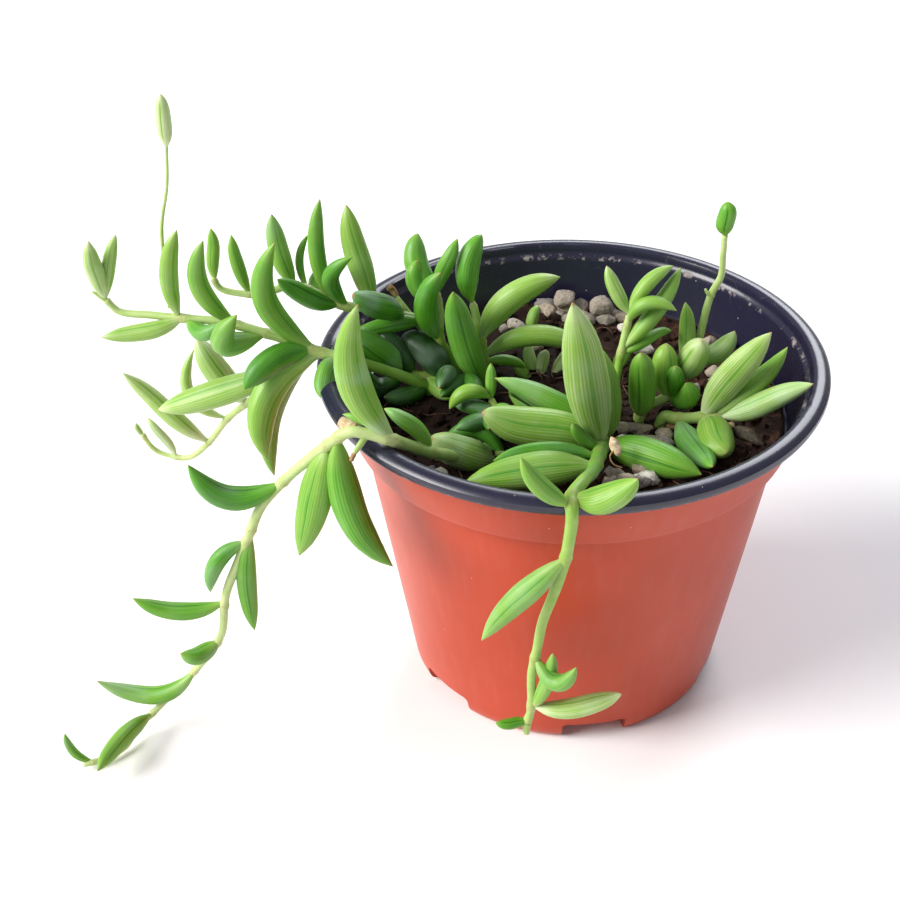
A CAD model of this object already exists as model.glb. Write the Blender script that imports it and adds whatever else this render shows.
"""A string of bananas (Curio radicans) in its two-tone nursery pot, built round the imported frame."""

import functools
import math
import random

import bpy
from mathutils import Euler, Matrix, Vector, noise


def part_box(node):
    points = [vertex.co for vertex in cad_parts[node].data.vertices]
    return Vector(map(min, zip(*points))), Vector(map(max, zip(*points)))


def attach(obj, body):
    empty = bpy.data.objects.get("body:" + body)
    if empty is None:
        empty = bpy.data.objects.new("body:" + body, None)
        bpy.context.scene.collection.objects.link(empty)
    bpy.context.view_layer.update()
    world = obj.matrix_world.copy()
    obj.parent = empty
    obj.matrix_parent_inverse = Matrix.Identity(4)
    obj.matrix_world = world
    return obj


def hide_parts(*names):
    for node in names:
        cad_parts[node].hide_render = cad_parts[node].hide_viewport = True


bl_info = {
    "name": "Potted String of Bananas",
    "version": (1, 0, 0),
    "blender": (4, 5, 0),
    "location": "3D View > Sidebar > Plant",
    "description": "Builds a trailing succulent in a thin nursery pot, with its soil and gravel",
    "category": "Add Mesh",
}

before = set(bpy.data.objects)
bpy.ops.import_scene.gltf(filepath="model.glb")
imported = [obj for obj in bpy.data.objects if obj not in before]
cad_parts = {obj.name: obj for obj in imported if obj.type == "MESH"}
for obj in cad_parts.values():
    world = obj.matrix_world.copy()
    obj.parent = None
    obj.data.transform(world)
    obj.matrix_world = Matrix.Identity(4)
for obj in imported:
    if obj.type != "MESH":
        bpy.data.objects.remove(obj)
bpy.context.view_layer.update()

MM = 0.001
POT_LOW, POT_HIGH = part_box("pot")
SOIL_LOW, SOIL_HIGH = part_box("soil")


# ------------------------------------------------------------------ the plant, in millimetres
# Each shoot: the green of its stem from pale 0 to deep 1, thickness at its two ends, its route from
# the soil outwards, and its leaves.
# A leaf: place on the route counted in route points, compass heading, lift above level, length,
# width, bow, the bow's side (0 below, 90 beside, 180 above), tone from dark 0 to light 1, form.
SHOOTS = {
    "left_low_shoot": {
        "stem": 0.35,
        "thick": (2.7, 1.5),
        "route": (
            (-28, 3, 64), (-33, 0, 71), (-40, -3, 76), (-48, -8, 82), (-54, -8, 83.5), (-60, -8, 86),
            (-68, -7, 88), (-74, -6, 89), (-83, -5, 89), (-90, -4, 89), (-97, -3, 89), (-100, -3, 92),
        ),
        "leaves": (
            (4, -148, 75, 28.5, 5.5, 6.6, -35, 0.5, "long"),
            (3.8, -147, -57, 27, 7, 6.2, -146, 0.6, "long"),
            (4, -170, -70, 33.5, 5.5, 5, -168, 0.5, "long"),
            (4.2, -142, -14, 17, 6.5, 2, -138, 0.3, "long"),
            (3.2, -103, -28, 10.5, 5.2, 1.3, -77, 0.45, "oval"),
            (5.6, -131, 47, 10, 6, 7.4, -33, 0.5, "long"),
            (6.5, -157, 76, 21.5, 4.5, 4.5, -22, 0.55, "long"),
            (7.9, -35, 14, 11, 4, 2.5, -22, 0.4, "long"),
            (8, -170, -11, 18, 4, 1, 0, 0.7, "long"),
            (8.1, 0, 85, 21, 4.2, 2, 180, 0.65, "long"),
            (11, 180, 83, 14, 4, 0.5, 0, 0.75, "long"),
            (11, 50, 70, 14.5, 3, 0.5, 110, 0.7, "long"),
        ),
    },
    "left_high_shoot": {
        "stem": 0.35,
        "thick": (2.5, 1.4),
        "route": (
            (-29, 6, 78), (-32, 8, 82), (-38, 9, 83), (-44, 9, 85), (-50, 9, 85), (-56, 9, 88),
            (-61, 9, 90), (-66, 8, 89), (-71, 8, 88), (-77, 8, 89), (-79, 8, 92),
        ),
        "leaves": (
            (1.9, -127, 38, 19, 6.5, 0.5, 110, 0.25, "oval"),
            (3, 138, 72, 23.5, 5.5, 0.6, 95, 0.65, "long"),
            (1.1, -166, -4, 16, 3.8, 0.5, 180, 0.4, "long"),
            (3.9, -65, 70, 16, 4, 4.4, -118, 0.4, "long"),
            (4.2, -154, 34, 16.5, 4.5, 1.5, -23, 0.35, "long"),
            (4.5, 114, 79, 23, 4, 2, 81, 0.5, "long"),
            (4.6, 106, 35, 8, 3.5, 2.5, 68, 0.5, "long"),
            (5.4, 92, 60, 12, 2, 2, 87, 0.5, "long"),
            (6, 146, 71, 16.5, 4.5, 1, 36, 0.55, "long"),
            (8, 149, 74, 14, 3, 0.6, 39, 0.55, "long"),
            (9.7, 94, 80, 12, 3, 0.5, 0, 0.6, "long"),
        ),
    },
    "left_rear_shoot": {
        "stem": 0.2,
        "thick": (2.0, 1.2),
        "route": (
            (-58, -8, 84), (-65, -2, 73), (-72, 4, 63), (-79, 8, 55), (-85, 11, 46), (-91, 13, 40),
            (-97, 14, 40), (-100, 14, 42), (-102, 14, 46),
        ),
        "leaves": (
            (0.8, 176, -23, 31.5, 6.5, 0.5, 16, 0.72, "long"),
            (2.2, 160, 52, 19, 6.2, 1.1, 22, 0.75, "long"),
            (3, 151, 63, 18, 3.2, 5.6, 40, 0.7, "long"),
            (4, 177, 44, 26, 4.5, 0.5, 10, 0.75, "long"),
            (5.5, 171, 60, 12.5, 2.4, 0.5, 162, 0.8, "long"),
            (7.8, 180, 68, 4, 1.5, 0.3, 0, 0.8, "long"),
        ),
    },
    "middle_shoot": {
        "stem": 0.5,
        "thick": (2.6, 1.9),
        "route": ((-14, -2, 64), (-21, 3, 69), (-26, 3, 70), (-31, 3, 71), (-37, 3, 72)),
        "leaves": (
            (4, -156, 47, 18, 6.6, 0.5, 141, 0.42, "oval"),
            (2.6, 146, 28, 12.5, 7.5, 3, -173, 0.0, "bead"),
            (3.7, 160, 47, 12.5, 4.5, 1.5, 174, 0.05, "bead"),
            (3.25, -38, 4, 11, 4.8, 1.5, 0, 0.6, "oval"),
            (4, -167, 15, 9, 4.9, 4.7, 0, 0.12, "long"),
            (3, -140, -2, 12.5, 4.9, 1.7, 23, 0.1, "long"),
            (1, -120, 18, 14, 4.8, 1.5, 180, 0.12, "long"),
            (1.5, -70, 15, 13, 4.6, 1.5, 180, 0.2, "long"),
            (2, -100, 25, 13, 4.8, 2, 180, 0.12, "long"),
        ),
    },
    "upright_shoot": {
        "stem": 0.35,
        "thick": (2.4, 1.7),
        "route": ((-24, 8, 64), (-27, 7, 74), (-29, 6, 79), (-29, 7, 85), (-30, 8, 90)),
        "leaves": (
            (2, -75, 80, 18.5, 5.5, 3.2, -106, 0.4, "long"),
            (4, 124, 56, 13, 5.5, 2.2, 59, 0.45, "bead"),
            (3.6, 167, 64, 10, 4.6, 2.4, 13, 0.45, "bead"),
            (3.8, 33, 66, 13.5, 3.5, 0.5, 180, 0.45, "long"),
        ),
    },
    "back_shoot": {
        "stem": 0.5,
        "thick": (2.5, 1.7),
        "route": ((-18, -1, 64), (-19, 5, 71), (-20, 7, 79), (-22, 9, 87)),
        "leaves": (
            (0.7, -148, 73, 27, 6.5, 1.3, -30, 0.45, "long"),
            (3, 64, 73, 15, 6.5, 2, 124, 0.4, "oval"),
            (1.95, 10, 40, 22.5, 6.5, 3.4, 178, 0.65, "long"),
            (1.5, 5, 2, 23.5, 5.3, 4.5, 179, 0.65, "long"),
            (1.3, 18, -16, 10, 2.8, 1.3, -176, 0.5, "long"),
            (0.1, 112, 50, 23.5, 4.5, 3.9, 0, 0.2, "long"),
        ),
    },
    "front_shoot": {
        "stem": 0.55,
        "thick": (3.1, 1.7),
        "route": (
            (8, -11, 64), (7, -20, 70), (5, -38, 76), (3, -50, 82), (1, -56, 83), (1, -60, 82),
            (1, -59, 78), (0, -57, 68), (-2, -56, 59), (-4, -55, 51), (-5, -54, 43), (-6, -53, 35),
            (-6, -52, 25), (-7, -52, 20),
        ),
        "leaves": (
            (1, -141, 76, 38, 9.2, 0.6, -79, 0.72, "broad"),
            (1, -171, 21, 27, 8.5, 0.5, -77, 0.66, "oval"),
            (1.8, -167, -2, 26.5, 7.5, 0.7, -167, 0.6, "broad"),
            (1, -27, 1, 22.5, 7.8, 0.5, 148, 0.48, "broad"),
            (0.5, 175, 31, 27.5, 6.5, 2, 175, 0.5, "broad"),
            (0.3, 150, 80, 24.5, 8, 0.7, -162, 0.6, "broad"),
            (4.1, -19, 31, 14.5, 6.3, 2.2, 4, 0.6, "broad"),
            (6.9, -166, -48, 24.5, 5, 0.8, -173, 0.55, "broad"),
            (1.2, -153, 50, 10.5, 3, 1, -25, 0.5, "long"),
            (1.5, -164, 6, 22, 4, 1.7, -124, 0.35, "long"),
            (4.6, -162, 52, 16, 4, 1.5, -10, 0.55, "broad"),
            (10.3, -32, 13, 10, 4, 4.6, -10, 0.5, "long"),
            (11.9, -6, 18, 19.5, 4.6, 2.3, 3, 0.75, "long"),
            (12, -43, 73, 19.5, 3.4, 1.1, 34, 0.6, "long"),
            (12.7, -164, 4, 7, 2.5, 0.6, 0, 0.4, "long"),
            (0.3, 169, 23, 23, 3, 2, 32, 0.5, "long"),
        ),
    },
    "left_trailing_shoot": {
        "stem": 0.12,
        "thick": (2.8, 1.3),
        "route": (
            (-10, -19, 65), (-18, -24, 68.5), (-27, -31.5, 74.5), (-34.5, -37, 81), (-40, -38, 83.2),
            (-44, -38, 83), (-51, -36, 76), (-58, -34, 68), (-63, -35, 62), (-66, -36, 55),
            (-69, -37, 48), (-72, -38, 40), (-74, -38, 29), (-80, -37, 19), (-86, -36, 11),
            (-91, -38, 6), (-95, -41, 3), (-97, -46, 1.6), (-101, -50, 1.6), (-105, -52, 1.6),
        ),
        "leaves": (
            (2.95, -152, 79, 33, 6.8, 5, -32, 0.62, "broad"),
            (0.6, -156, 30, 17, 8, 1, 1, 0.7, "oval"),
            (5.6, -157, -74, 27, 7.2, 0.5, -27, 0.55, "broad"),
            (5.25, -21, -69, 31, 7.8, 3.6, -16, 0.45, "broad"),
            (7.05, -171, 17, 19.5, 5.5, 6.2, 0, 0.35, "long"),
            (2.1, 168, 43, 13, 3.9, 1.7, 180, 0.5, "long"),
            (3.2, 173, 28, 10, 2.4, 1.4, 176, 0.5, "long"),
            (9.2, -160, -53, 14.5, 4, 2.5, -163, 0.4, "long"),
            (8.85, -115, -85, 25.5, 4.3, 1.3, -112, 0.45, "long"),
            (11.15, -174, 5, 19.5, 4.1, 3.1, 0, 0.45, "long"),
            (12.15, -145, 2, 9, 4.4, 2.2, 0, 0.5, "long"),
            (13.2, -175, -7, 22.5, 4.5, 6, 0, 0.5, "long"),
            (15.25, -110, 4, 21, 4.2, 1, -113, 0.55, "long"),
            (18.4, 180, 57, 10, 2, 2, 0, 0.5, "long"),
            (0.45, 163, 8, 13.5, 4.2, 4, -151, 0.25, "long"),
            (0.45, 125, 34, 9, 3.8, 1.6, 51, 0.35, "long"),
        ),
    },
    "right_upright_shoot": {
        "stem": 0.4,
        "thick": (2.3, 1.5),
        "route": ((9, -7, 64), (9, -6, 72), (10, -4, 79), (11, -2, 85), (12, 0, 90)),
        "leaves": (
            (4, 150, 58, 11.5, 3.2, 0.5, 38, 0.7, "long"),
            (4, 25, 45, 13.5, 3.6, 1.8, 177, 0.65, "long"),
            (3.65, -11, 23, 11, 3.4, 3.2, 180, 0.6, "long"),
            (2.65, 34, 48, 21, 3.9, 1.1, -51, 0.6, "long"),
            (2.45, 36, 7, 13.5, 2.4, 2.3, -144, 0.5, "long"),
        ),
    },
    "right_bead_shoot": {
        "stem": 0.2,
        "thick": (2.4, 1.9),
        "route": (
            (15, -8, 64), (15, -7, 69), (17, -5, 70.5), (20, -4, 71.5), (22, -2, 72.5), (24, 2, 75),
            (27, 5, 78),
        ),
        "leaves": (
            (1, -109, 83, 17, 5.8, 0.5, 111, 0.5, "bead"),
            (3.5, 136, 83, 12.5, 5.8, 0.5, 59, 0.6, "bead"),
            (4.8, -47, 64, 12.5, 6.3, 0.5, 26, 0.75, "bead"),
            (5.8, 19, 28, 10.5, 4.9, 2.3, -13, 0.7, "long"),
            (5.2, 98, 74, 14.5, 3.6, 0.5, -108, 0.65, "long"),
            (3.65, -79, 71, 9.5, 4.3, 0.5, 49, 0.4, "bead"),
            (3.7, -62, 46, 8.5, 4.9, 2.8, 30, 0.45, "bead"),
        ),
    },
    "right_low_shoot": {
        "stem": 0.2,
        "thick": (2.8, 2.2),
        "route": ((19, -9, 64), (20, -9, 70), (23, -10, 70.5), (28, -10, 71), (33, -10, 71.5)),
        "leaves": (
            (3, 9, 57, 24, 6.8, 0.6, 167, 0.72, "broad"),
            (3.45, 28, 37, 21.5, 5.2, 1.4, -88, 0.6, "broad"),
            (3.65, -12, 31, 22, 5.3, 0.6, 28, 0.7, "broad"),
            (3.1, -75, 2, 14.5, 7.8, 0.5, 7, 0.62, "oval"),
            (2, -72, 3, 20, 6, 1.7, 10, 0.4, "broad"),
        ),
    },
    "hooked_shoot": {
        "stem": 0.5,
        "thick": (1.7, 1.3),
        "route": ((-13, -16, 64), (-14, -14, 71), (-17, -11, 75)),
        "leaves": (
            (2, -160, -8, 9, 3.8, 3, 180, 0.6, "long"),
            (1.9, 95, 70, 8, 2.4, 0.5, 0, 0.5, "long"),
            (1.6, -50, -25, 8, 4, 2, 180, 0.4, "long"),
            (0.8, -150, 15, 12, 4.5, 1.5, 180, 0.15, "long"),
            (0.9, 160, 10, 12, 4.2, 1.5, 180, 0.15, "long"),
            (1.2, -100, 20, 12, 4.8, 1, 180, 0.25, "long"),
        ),
    },
}
# The frame has a node for each leaf this wide. Narrower ones are in their shoot's node, all but the last
# and smallest of left_rear_shoot, which is only here.
OWN_PIECE_WIDTH = 5

# Flower stalks: route, thickness at its ends, and the bud's length, width and tone.
FLOWERS = {
    "right_flower": {
        "thick": (1.8, 1.3),
        "route": ((27, 5, 78), (29, 7, 90), (31, 6.5, 96), (31, 6, 101), (31, 6, 106)),
        "bud": (7.5, 3.9, 0.45),
    },
    "left_flower": {
        "thick": (0.9, 0.7),
        "route": ((-86, -3.5, 90.5), (-87, 0, 98), (-86.5, 0, 108), (-84, -1, 118), (-82.5, -3, 127.5)),
        "bud": (11, 3.2, 0.85),
    },
}


# ------------------------------------------------------------------ settings
def linear(code):
    """An sRGB hex colour as linear RGBA."""
    shares = [int(code[i : i + 2], 16) / 255 for i in (1, 3, 5)]
    return (*[c / 12.92 if c <= 0.04045 else ((c + 0.055) / 1.055) ** 2.4 for c in shares], 1)


def colour(name, code, text):
    return bpy.props.FloatVectorProperty(
        name=name, description=text, default=linear(code), size=4, min=0, max=1, subtype="COLOR"
    )


def length(name, value, text):
    return bpy.props.FloatProperty(
        name=name, description=text, default=value, min=0, unit="LENGTH", subtype="DISTANCE"
    )


def count(name, value, text, least=0):
    return bpy.props.IntProperty(name=name, description=text, default=value, min=least)


class PotSettings(bpy.types.PropertyGroup):
    rim_radius: length("Rim radius", POT_HIGH.x, "Outside of the rolled rim")
    height: length("Height", POT_HIGH.z, "From the surface to the top of the rim")
    wall: length("Wall", 0.9 * MM, "Thickness of the formed sheet")
    sides: count("Sides", 128, "Facets round the pot", 24)
    outside: colour("Outside", "#b5380c", "Terracotta layer of the sheet")
    inside: colour("Inside", "#1a1830", "Black layer of the sheet")
    scuff: colour("Scuffs", "#e6d8cf", "Dust and stress marks on the plastic")


class SoilSettings(bpy.types.PropertyGroup):
    level: length("Level", SOIL_HIGH.z - 1.2 * MM, "Height of the soil at the wall")
    roughness: length("Unevenness", 1.6 * MM, "How far the surface rises and falls")
    crumbs: count("Crumbs", 650, "Loose crumbs on the surface")
    fibres: count("Fibres", 90, "Loose coir fibres on the surface")
    peat: colour("Peat", "#3a251c", "Damp peat and coir")
    coir: colour("Coir", "#6e4c37", "Dry coir fibre")
    stone: colour("Stone", "#ab9c88", "Pumice grit")


class PlantSettings(bpy.types.PropertyGroup):
    deep: colour("Deep green", "#183f0c", "Leaves in the shade")
    green: colour("Green", "#4f9420", "Leaves of middle tone")
    fresh: colour("Fresh green", "#88ae46", "Leaves in full light")
    pale: colour("Pale green", "#c8d4a4", "Leaf bases and young growth")
    bloom: colour("Wax bloom", "#c0d6c6", "Frost of wax on the skin")
    stem: colour("Stem", "#c3d193", "Young stems")
    tan: colour("Dry tan", "#a98256", "Withered tissue")
    veins: count("Veins", 33, "Lengthwise veins round a leaf", 6)


class StageSettings(bpy.types.PropertyGroup):
    elevation: bpy.props.FloatProperty(
        name="Camera height",
        description="Angle of the camera above the rim",
        default=math.radians(31.03),
        subtype="ANGLE",
        unit="ROTATION",
    )
    distance: length("Camera distance", 346.5 * MM, "From the camera to the middle of the rim")
    floor: colour("Floor", "#f7f6f6", "Plain pale floor")


# ------------------------------------------------------------------ helpers
def node(tree, kind, *inputs, stops=(), **settings):
    """Adds a shader node. Inputs come in order, or by name in a last dict; each is a value, a socket, or
    a node, which stands for its first output in use. The stops are a colour ramp's (place, colour)."""
    new = tree.nodes.new("ShaderNode" + kind)
    for key, value in settings.items():
        setattr(new, key, value)
    named = inputs[-1] if inputs and isinstance(inputs[-1], dict) else {}
    ordered = zip([socket for socket in new.inputs if socket.enabled], inputs[:-1] if named else inputs)
    for socket, value in [*ordered, *((new.inputs[key], value) for key, value in named.items())]:
        if isinstance(value, bpy.types.Node):
            value = next(out for out in value.outputs if out.enabled)
        if isinstance(value, bpy.types.NodeSocket):
            tree.links.new(value, socket)
        else:
            socket.default_value = value
    for place, shade in stops[2:]:
        new.color_ramp.elements.new(place)
    for point, (place, shade) in zip(new.color_ramp.elements if stops else (), stops):
        point.position, point.color = place, shade
    return new


def blank_material(name):
    """A material without nodes, and the way to add them to it."""
    material = bpy.data.materials.new(name)
    material.use_nodes = True
    material.node_tree.nodes.clear()
    return material, functools.partial(node, material.node_tree)


# Settings that many nodes share.
MULTIPLY = {"operation": "MULTIPLY"}
ADD = {"operation": "ADD"}
LESS = {"operation": "SUBTRACT"}
FUSED = {"operation": "MULTIPLY_ADD"}
EASED = {"interpolation_type": "SMOOTHSTEP"}
TINTED = {"data_type": "RGBA"}


def choose(*pieces):
    """These pieces selected and nothing else, in object mode, with the first one active."""
    if bpy.context.object and bpy.context.object.mode != "OBJECT":
        bpy.ops.object.mode_set(mode="OBJECT")
    bpy.ops.object.select_all(action="DESELECT")
    for piece in pieces:
        piece.select_set(True)
    if pieces:
        bpy.context.view_layer.objects.active = pieces[0]


def edit_all():
    """Edit mode with the whole mesh selected."""
    bpy.ops.object.mode_set(mode="EDIT")
    bpy.ops.mesh.select_all(action="SELECT")


def placed(name, data):
    """A new object in the scene."""
    piece = bpy.data.objects.new(name, data)
    bpy.context.scene.collection.objects.link(piece)
    return piece


def risen(name, sides, stations):
    """A filled ring extruded through (radius, height) stations. A last radius of 0 ends in a point."""
    choose()
    radius, height = stations[0]
    bpy.ops.mesh.primitive_circle_add(
        vertices=sides, radius=radius, fill_type="NGON", location=(0, 0, height)
    )
    piece = bpy.context.object
    piece.name = piece.data.name = name
    edit_all()
    for wider, higher in stations[1:]:
        bpy.ops.mesh.extrude_region_move(TRANSFORM_OT_translate={"value": (0, 0, higher - height)})
        if wider:
            bpy.ops.transform.resize(value=(wider / radius, wider / radius, 1))
        else:
            bpy.ops.mesh.merge(type="CENTER")
        radius, height = wider, higher
    bpy.ops.mesh.select_all(action="SELECT")
    bpy.ops.mesh.normals_make_consistent(inside=False)
    bpy.ops.object.mode_set(mode="OBJECT")
    bpy.ops.object.transform_apply(location=True, rotation=True, scale=True)
    return piece


def apply_modifier(piece, kind, **settings):
    """Adds a modifier, sets it and applies it."""
    choose(piece)
    new = piece.modifiers.new(kind.title(), kind)
    for key, value in settings.items():
        setattr(new, key, value)
    bpy.ops.object.modifier_apply(modifier=new.name)


def joined(name, parts):
    """Several objects as one."""
    choose(*parts)
    bpy.ops.object.join()
    parts[0].name = parts[0].data.name = name
    return parts[0]


def drop(*pieces):
    """Removes objects that only served to model others."""
    for piece in pieces:
        mesh = piece.data
        bpy.data.objects.remove(piece)
        bpy.data.meshes.remove(mesh)


def keep(piece, slot, *nodes, material=None, smooth=True):
    """A finished piece: shaded, with its material, on the frame's one body."""
    if material:
        piece.data.materials.clear()
        piece.data.materials.append(material)
    if smooth:
        for face in piece.data.polygons:
            face.use_smooth = True
    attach(piece, "root")
    if nodes:
        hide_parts(*nodes)
    return piece


def mesh_piece(name, points, faces):
    """A new object from points in metres and faces."""
    mesh = bpy.data.meshes.new(name)
    mesh.from_pydata(points, [], faces)
    mesh.update()
    return placed(name, mesh)


def write_attribute(mesh, name, values):
    """Stores one vector for each vertex."""
    layer = mesh.attributes.new(name, "FLOAT_VECTOR", "POINT")
    layer.data.foreach_set("vector", [c for value in values for c in value])


def smooth_line(points, at):
    """The place at a count of points along a smooth line through them."""
    first = min(int(at), len(points) - 2)
    share = at - first
    a, b = points[first], points[first + 1]
    before = points[first - 1] if first else 2 * a - b
    after = points[first + 2] if first + 2 < len(points) else 2 * b - a
    leave, arrive = (b - before) / 2, (after - a) / 2
    s2, s3 = share**2, share**3
    spot = (2 * s3 - 3 * s2 + 1) * a + (s3 - 2 * s2 + share) * leave
    return spot + (3 * s2 - 2 * s3) * b + (s3 - s2) * arrive


def on_route(route, at):
    """The place at a count of route points along a route, in metres."""
    return smooth_line([Vector(p) for p in route], at) * MM


def level_way(angle):
    """The level direction at a compass angle in radians."""
    return Vector((math.cos(angle), math.sin(angle), 0))


def spot_within(radius, chance):
    """A chance place in a disc round the origin."""
    far = radius * math.sqrt(chance.random())
    return far * level_way(chance.uniform(0, math.tau))


def bell(far, width):
    """1 at no distance, fading to 0 over a few widths."""
    return math.exp(-((far / width) ** 2))


# ------------------------------------------------------------------ materials
def formed_plastic(name, sheet, scuff, gloss, shine, film, drawn_share, wear):
    """Polypropylene sheet drawn hot into a mould: satin, a little cloudy, with dust and handling scuffs."""
    material, add = blank_material(name)
    place = add("TexCoord").outputs["Object"]
    height = add("SeparateXYZ", place).outputs[2]
    darker = (*[c * 0.7 for c in sheet[:3]], 1)
    # The sheet thins as it is drawn, so its colour wanders over 20 mm or so, in faint upright lines.
    cloud = add("TexNoise", place, 1 / (20 * MM), 2)
    lines = add("TexNoise", add("Mapping", {"Vector": place, "Scale": (1, 1, 0.08)}), 1 / (2 * MM), 3)
    shade = add("Mix", add("MapRange", cloud, 0.3, 0.7, 0, 0.3, **EASED), sheet, darker, **TINTED)
    pulled = add("MapRange", lines, 0.45, 0.8, 0, drawn_share, **EASED)
    shade = add("Mix", pulled, shade, scuff, **TINTED)
    # Dust: specks of 0.3 mm, one or two to the square centimetre.
    dots = add("TexVoronoi", place, 1 / (3.2 * MM))
    speck = add("MapRange", dots, 0.03, 0.06, 0.5, 0, **EASED)
    chosen = add("SeparateColor", dots.outputs["Color"])
    speck = add("Math", speck, add("MapRange", chosen, 0.8, 0.82), **MULTIPLY)
    shade = add("Mix", speck, shade, scuff, **TINTED)
    # Hairline scratches, in a few places, on the rim and just under it.
    cell = add("TexVoronoi", place, 1 / (16 * MM), feature="DISTANCE_TO_EDGE")
    hair = add("MapRange", cell, 0.003, 0.009, 0.5, 0, **EASED)
    patch = add("MapRange", add("TexNoise", place, 1 / (11 * MM), 2), 0.56, 0.66, **EASED)
    worn = add("MapRange", height, 72 * MM, 79 * MM, 0, 1, **EASED)
    hair = add("Math", add("Math", hair, patch, **MULTIPLY), worn, **MULTIPLY)
    # Rubbed dust sits in smears on the collar.
    smear = add("MapRange", add("TexNoise", place, 1 / (4 * MM), 6, 0.75), 0.62, 0.74, 0, 0.35, **EASED)
    smear = add("Math", smear, add("MapRange", height, 63 * MM, 80 * MM, 0.05, 1), **MULTIPLY)
    marks = add("Math", hair, smear, **ADD)
    # The rim's lower edge is rubbed pale in places.
    low_edge = add("MapRange", height, 77.0 * MM, 77.8 * MM, 1, 0, **EASED)
    low_edge = add("Math", low_edge, add("MapRange", height, 76.3 * MM, 76.6 * MM), **MULTIPLY)
    rubbed = add("MapRange", add("TexNoise", place, 1 / (3 * MM), 5, 0.7), 0.54, 0.64, 0, 3, **EASED)
    marks = add("Math", low_edge, rubbed, marks, **FUSED)
    shade = add("Mix", add("Math", marks, wear, **MULTIPLY), shade, scuff, **TINTED)
    rough = add("Math", marks, 0.2, add("MapRange", cloud, 0.2, 0.8, gloss, gloss + 0.08), **FUSED)
    # The mould's blasted face leaves a peel of 0.6 mm.
    peel = add("Math", add("TexNoise", place, 1 / (0.6 * MM), 2), 0.2, **MULTIPLY)
    rise = add("Math", lines, 0.4, peel, **FUSED)
    bump = add("Bump", {"Height": rise, "Strength": 0.25, "Distance": 0.05 * MM})
    # The sheen is a film of dust, which takes the light at a slant.
    facts = {
        "Base Color": shade,
        "Roughness": rough,
        "Normal": bump,
        "IOR": 1.5,
        "Specular IOR Level": shine,
        "Sheen Weight": film,
        "Sheen Roughness": 0.5,
    }
    add("OutputMaterial", add("BsdfPrincipled", facts))
    return material


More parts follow.
